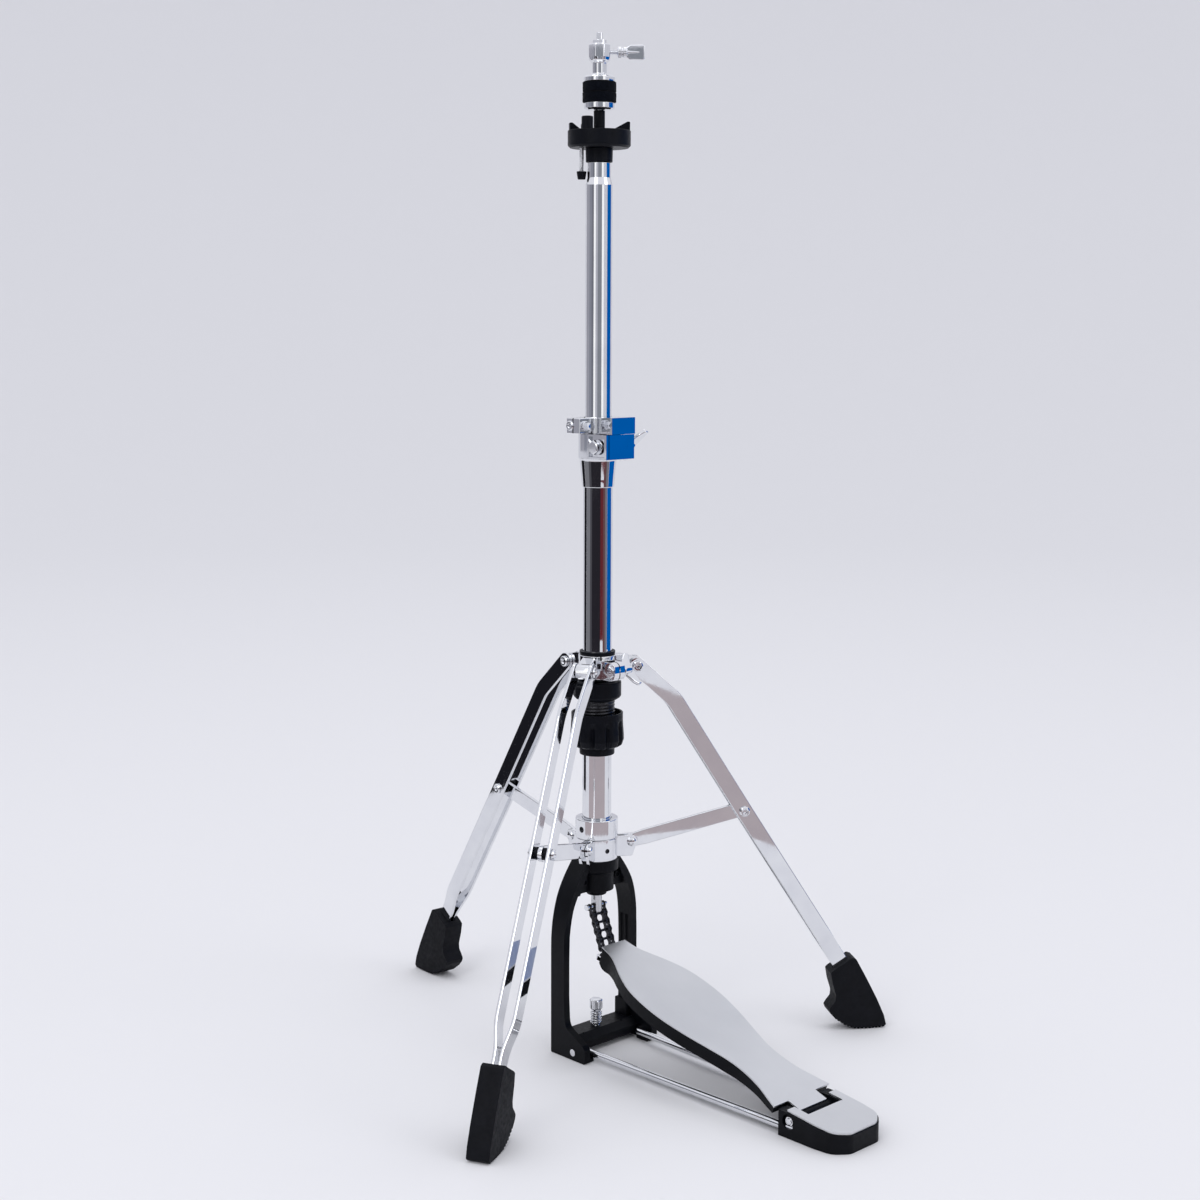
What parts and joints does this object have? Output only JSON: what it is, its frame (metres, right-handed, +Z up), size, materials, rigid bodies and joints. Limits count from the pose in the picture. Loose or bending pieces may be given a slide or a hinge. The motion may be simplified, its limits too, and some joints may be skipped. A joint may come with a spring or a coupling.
{
  "type": "hi-hat stand",
  "caption": "Pedal-operated hi-hat cymbal stand with double-braced tripod legs, telescoping chrome column, pull rod with clutch, bottom cymbal seat and chain-drive footboard.",
  "frame": {"origin": "on the floor under the axis of the column, at the flat tip of the spur bolt", "axes": "+Z up along the column, the pedal reaches out along -Y, +X to the right of someone who stands at the heel of the pedal and looks at the column"},
  "size_m": [0.5305, 0.6426, 0.9815],
  "materials": {
    "chrome": "polished chrome plate",
    "satin": "satin silver, lightly brushed",
    "black_cast": "black powder coat on a die casting",
    "black_plastic": "moulded black nylon",
    "rubber": "matt black rubber",
    "felt": "dense black wool felt",
    "black_steel": "black oxide steel"
  },
  "bodies": {
    "stand_base": {"base_casting": "black_cast", "casting_bush": "black_plastic", "base_tube": "chrome", "main_tube": "chrome", "lower_hub": "chrome", "stop_ring": "chrome", "spur_spring": "chrome", "tension_seat": "black_plastic", "tension_sleeve": "black_steel", "tension_ring": "black_plastic", "height_clamp": "chrome", "clamp_hex_bolt": "chrome", "left_pedal_rod": "chrome", "right_pedal_rod": "chrome", "heel_casting": "black_cast", "heel_plate": "satin", "hinge_pin": "chrome", "return_spring": "black_steel"},
    "pedal": {"footboard_casting": "black_cast", "footboard_plate": "satin", "toe_clip": "chrome"},
    "pull_rod": {"pull_rod": "chrome", "lower_rod": "satin", "chain_pin": "chrome"},
    "chain": {"chain_strand_left": "black_steel", "chain_strand_right": "black_steel"},
    "tripod_collar": {"tripod_collar": "chrome", "collar_bush": "black_plastic"},
    "collar_wing_bolt": {"collar_wing_bolt": "chrome"},
    "clamp_wing_nut": {"clamp_wing_nut": "chrome"},
    "upper_tube": {"upper_tube": "chrome", "memory_lock": "chrome", "seat_hub": "black_plastic", "seat_cup": "black_plastic", "seat_sleeve": "black_plastic"},
    "lock_key_screw": {"lock_key_screw": "chrome"},
    "tilter_screw": {"tilter_screw": "chrome", "tilter_knob": "black_plastic"},
    "clutch": {"clutch_body": "chrome", "clutch_nut": "chrome", "lower_felt": "felt", "upper_felt": "felt"},
    "clutch_wing_screw": {"clutch_wing_screw": "chrome"},
    "tension_dial": {"tension_dial": "black_plastic"},
    "spur_bolt": {"spur_bolt": "chrome"},
    "left_leg": {"left_leg_outer_bar": "chrome", "left_leg_inner_bar": "chrome", "left_leg_rivet": "chrome", "left_foot": "rubber"},
    "left_brace": {"left_brace": "chrome"},
    "right_leg": {"right_leg_outer_bar": "chrome", "right_leg_inner_bar": "chrome", "right_leg_rivet": "chrome", "right_foot": "rubber"},
    "right_brace": {"right_brace": "chrome"},
    "rear_leg": {"rear_leg_outer_bar": "chrome", "rear_leg_inner_bar": "chrome", "rear_leg_rivet": "chrome", "rear_foot": "rubber"},
    "rear_brace": {"rear_brace": "chrome"}
  },
  "joints": [
    {"name": "pedal_hinge", "type": "hinge", "parent": "stand_base", "child": "pedal", "pos_m": [0, -0.283, 0.0155], "axis": [-1, 0, 0], "range_deg": [0, 9]},
    {"name": "pull_rod_slide", "type": "slide", "parent": "stand_base", "child": "pull_rod", "axis": [0, 0, -1], "range_m": [0, 0.0405], "stiffness_N_per_m": 700, "springref_m": -0.03, "deforming": ["return_spring"]},
    {"name": "chain_swing", "type": "hinge", "parent": "pull_rod", "child": "chain", "pos_m": [0, 0, 0.142], "axis": [1, 0, 0], "range_deg": [0, 15.1]},
    {"name": "collar_slide", "type": "slide", "parent": "stand_base", "child": "tripod_collar", "axis": [0, 0, 1], "range_m": [0, 0.0595]},
    {"name": "height_slide", "type": "slide", "parent": "stand_base", "child": "upper_tube", "axis": [0, 0, 1], "range_m": [0, 0.06]},
    {"name": "clutch_slide", "type": "slide", "parent": "upper_tube", "child": "clutch", "axis": [0, 0, 1], "range_m": [0, 0.006]},
    {"name": "tension_dial_turn", "type": "hinge", "parent": "stand_base", "child": "tension_dial", "pos_m": [0, 0, 0.32], "axis": [0, 0, 1], "continuous": true},
    {"name": "spur_turn", "type": "hinge", "parent": "stand_base", "child": "spur_bolt", "pos_m": [0, 0, 0.02], "axis": [0, 0, 1], "continuous": true},
    {"name": "collar_wing_turn", "type": "hinge", "parent": "tripod_collar", "child": "collar_wing_bolt", "pos_m": [0.005, -0.037, 0.384], "axis": [1, 0, 0], "continuous": true},
    {"name": "clamp_wing_turn", "type": "hinge", "parent": "stand_base", "child": "clamp_wing_nut", "pos_m": [0.025, -0.0185, 0.598], "axis": [1, 0, 0], "continuous": true},
    {"name": "lock_screw_turn", "type": "hinge", "parent": "upper_tube", "child": "lock_key_screw", "pos_m": [-0.026, -0.009, 0.618], "axis": [0, -1, 0], "continuous": true},
    {"name": "tilter_turn", "type": "hinge", "parent": "upper_tube", "child": "tilter_screw", "pos_m": [-0.01194, 0.01139, 0.86], "axis": [0, 0, 1], "continuous": true},
    {"name": "clutch_wing_turn", "type": "hinge", "parent": "clutch", "child": "clutch_wing_screw", "pos_m": [0.01447, -0.0138, 0.9635], "axis": [0.7236, -0.6903, 0], "continuous": true},
    {"name": "left_leg_hinge", "type": "hinge", "parent": "tripod_collar", "child": "left_leg", "pos_m": [-0.03398, -0.01701, 0.384], "axis": [-0.4478, 0.8942, 0], "range_deg": [-7.6, 0]},
    {"name": "left_brace_hinge", "type": "hinge", "parent": "stand_base", "child": "left_brace", "pos_m": [-0.0304, -0.01522, 0.207], "axis": [-0.4478, 0.8942, 0], "range_deg": [0, 25.1]},
    {"name": "right_leg_hinge", "type": "hinge", "parent": "tripod_collar", "child": "right_leg", "pos_m": [0.03172, -0.02092, 0.384], "axis": [-0.5505, -0.8348, 0], "range_deg": [-7.6, 0]},
    {"name": "right_brace_hinge", "type": "hinge", "parent": "stand_base", "child": "right_brace", "pos_m": [0.02839, -0.01872, 0.207], "axis": [-0.5505, -0.8348, 0], "range_deg": [0, 25.1]},
    {"name": "rear_leg_hinge", "type": "hinge", "parent": "tripod_collar", "child": "rear_leg", "pos_m": [0.00225, 0.03793, 0.384], "axis": [0.9982, -0.0593, 0], "range_deg": [-7.6, 0]},
    {"name": "rear_brace_hinge", "type": "hinge", "parent": "stand_base", "child": "rear_brace", "pos_m": [0.00202, 0.03394, 0.207], "axis": [0.9982, -0.0593, 0], "range_deg": [0, 25.1]}
  ],
  "couplings": [
    {"joint": "pull_rod_slide", "follows": "pedal_hinge", "m_per_rad": 0.2559},
    {"joint": "chain_swing", "follows": "pedal_hinge", "ratio": 1.67},
    {"joint": "left_leg_hinge", "follows": "collar_slide", "rad_per_m": -2.1973},
    {"joint": "left_brace_hinge", "follows": "collar_slide", "rad_per_m": 7.3381},
    {"joint": "right_leg_hinge", "follows": "collar_slide", "rad_per_m": -2.1973},
    {"joint": "right_brace_hinge", "follows": "collar_slide", "rad_per_m": 7.3381},
    {"joint": "rear_leg_hinge", "follows": "collar_slide", "rad_per_m": -2.1973},
    {"joint": "rear_brace_hinge", "follows": "collar_slide", "rad_per_m": 7.3381}
  ]
}
